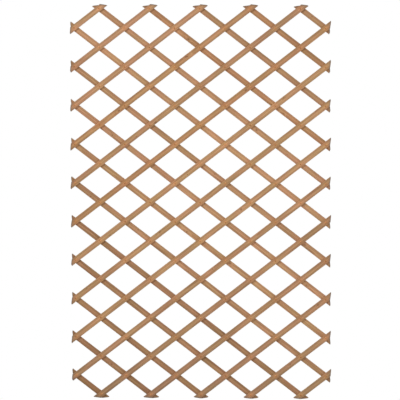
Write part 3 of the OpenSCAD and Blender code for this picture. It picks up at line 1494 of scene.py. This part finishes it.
@dataclass(frozen=True)
class Studio:
    """White ground, lamps and the long lens that saw the panel almost square on.

    Attributes:
        distance, azimuth, elevation, roll: the camera's distance from its aim, and its angles in degrees.
        metres_per_pixel, frame_pixels: scale of the picture at the aim, and its width.
        sensor, sight: the camera's sensor in millimetres, and how far it sees.
        ambient: strength of the even light.
        floor_level, floor_reach: height of the floor, and half its width.
        white_span, least_white: distances over which the floor becomes plain white, and how white it shows
            below the panel.
    """

    distance: float = 25.0
    azimuth: float = 3.471
    elevation: float = 7.424
    roll: float = -0.202
    metres_per_pixel: float = 0.0046133
    frame_pixels: int = 400
    aim: Triple = (-0.0016, 0.0, 0.01033)
    sensor: float = 36.0
    sight: float = 100
    ambient: float = 0.475
    white: Colour = (1, 1, 1, 1)
    floor_colour: Colour = (0.75, 0.75, 0.75, 1)
    floor_rough: float = 0.9
    floor_level: float = -1.5
    floor_reach: float = 4.0
    white_span: Span = (0.6, 2.4)
    least_white: float = 0.75
    lamps: tuple[Lamp, ...] = (
        Lamp("key", (-3.2, -5.9, 5.7), (0, 0, 0.2), 1.7, 315),
        Lamp("fill", (0.5, -1.7, 0.15), (0.1, 0, 0.15), 1.3, 6.6),
        Lamp("rear", (2.4, 6.0, 3.6), (0, 0, 0), 2.4, 170),
    )

    def build(self) -> None:
        """Sets up the view, the world, the floor, the lamps and the camera."""
        scene = bpy.context.scene
        scene.view_settings.view_transform = "Standard"
        self.build_world(scene)
        self.build_floor()
        for lamp in self.lamps:
            lamp.build()
        self.build_camera(scene)

    def seen(self, sheet: Sheet) -> Socket:
        """Rays that show the ground as it is: from the camera, or by way of metal or glass.

        Args:
            sheet: sheet of the material or world.

        Returns:
            1 for those rays and 0 for others.
        """
        path = sheet.add("LightPath")
        shiny = sheet.math("MAXIMUM", path.outputs["Is Glossy Ray"], path.outputs["Is Transmission Ray"])
        return sheet.math("MAXIMUM", path.outputs["Is Camera Ray"], shiny)

    def build_world(self, scene: bpy.types.Scene) -> None:
        """White for the camera, and an even soft light for the object.

        Args:
            scene: scene that gets the world.
        """
        world = bpy.data.worlds.new("studio")
        world.use_nodes = True
        sheet = Sheet(world.node_tree)
        light = world.node_tree.nodes["Background"]
        light.inputs["Color"].default_value = self.white
        light.inputs["Strength"].default_value = self.ambient
        white = sheet.add("Background", {"Color": self.white, "Strength": 1.0})
        both = sheet.add("MixShader", {0: self.seen(sheet), 1: light.outputs[0], 2: white.outputs[0]})
        sheet.feed(world.node_tree.nodes["World Output"].inputs["Surface"], both.outputs[0])
        scene.world = world

    def build_floor(self) -> None:
        """A pale floor, lower than the panel reaches when it is folded tall and narrow."""
        corners = np.array([[-1, -1], [1, -1], [1, 1], [-1, 1]]) * self.floor_reach
        points = np.column_stack([corners, np.full(len(corners), self.floor_level)])
        floor = add_object("floor", points, [np.arange(len(corners))[None]])
        material = bpy.data.materials.new("floor")
        material.use_nodes = True
        sheet = Sheet(material.node_tree)
        pale = material.node_tree.nodes["Principled BSDF"]
        pale.inputs["Base Color"].default_value = self.floor_colour
        pale.inputs["Roughness"].default_value = self.floor_rough
        white = sheet.add("Emission", {"Color": self.white, "Strength": 1.0})
        place = sheet.add("TexCoord").outputs["Object"]
        flat = sheet.vector("MULTIPLY", place, (1, 1, 0))
        away = sheet.add("VectorMath", {0: flat}, operation="LENGTH").outputs["Value"]
        whiter = sheet.step(away, *self.white_span, self.least_white, 1)
        share = sheet.math("MULTIPLY", self.seen(sheet), whiter)
        both = sheet.add("MixShader", {0: share, 1: pale.outputs[0], 2: white.outputs[0]})
        sheet.feed(material.node_tree.nodes["Material Output"].inputs["Surface"], both.outputs[0])
        floor.data.materials.append(material)

    def build_camera(self, scene: bpy.types.Scene) -> None:
        """Puts the camera where the lattice falls on the photograph's pixels.

        Args:
            scene: scene that gets the camera.
        """
        turn, rise, roll = (math.radians(x) for x in (self.azimuth, self.elevation, self.roll))
        back = Vector((math.sin(turn) * math.cos(rise), -math.cos(turn) * math.cos(rise), math.sin(rise)))
        right = Vector((math.cos(turn), math.sin(turn), 0))
        up = back.cross(right)
        level = right * math.cos(roll) + up * math.sin(roll)
        upright = up * math.cos(roll) - right * math.sin(roll)
        data = bpy.data.cameras.new("long_lens")
        data.sensor_width = self.sensor
        data.lens = self.sensor * self.distance / (self.metres_per_pixel * self.frame_pixels)
        data.clip_end = self.sight
        camera = bpy.data.objects.new("long_lens", data)
        pose = Matrix((level, upright, back)).transposed().to_4x4()
        pose.translation = Vector(self.aim) + back * self.distance
        camera.matrix_world = pose
        scene.collection.objects.link(camera)
        scene.camera = camera


def main() -> None:
    logging.basicConfig(level=logging.INFO, format="%(message)s")
    panel = Panel(Lattice.from_frame(), SlatCut(), Growth(), SetRivet())
    for piece in panel.build():
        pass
    Studio().build()


if __name__ == "__main__":
    main()
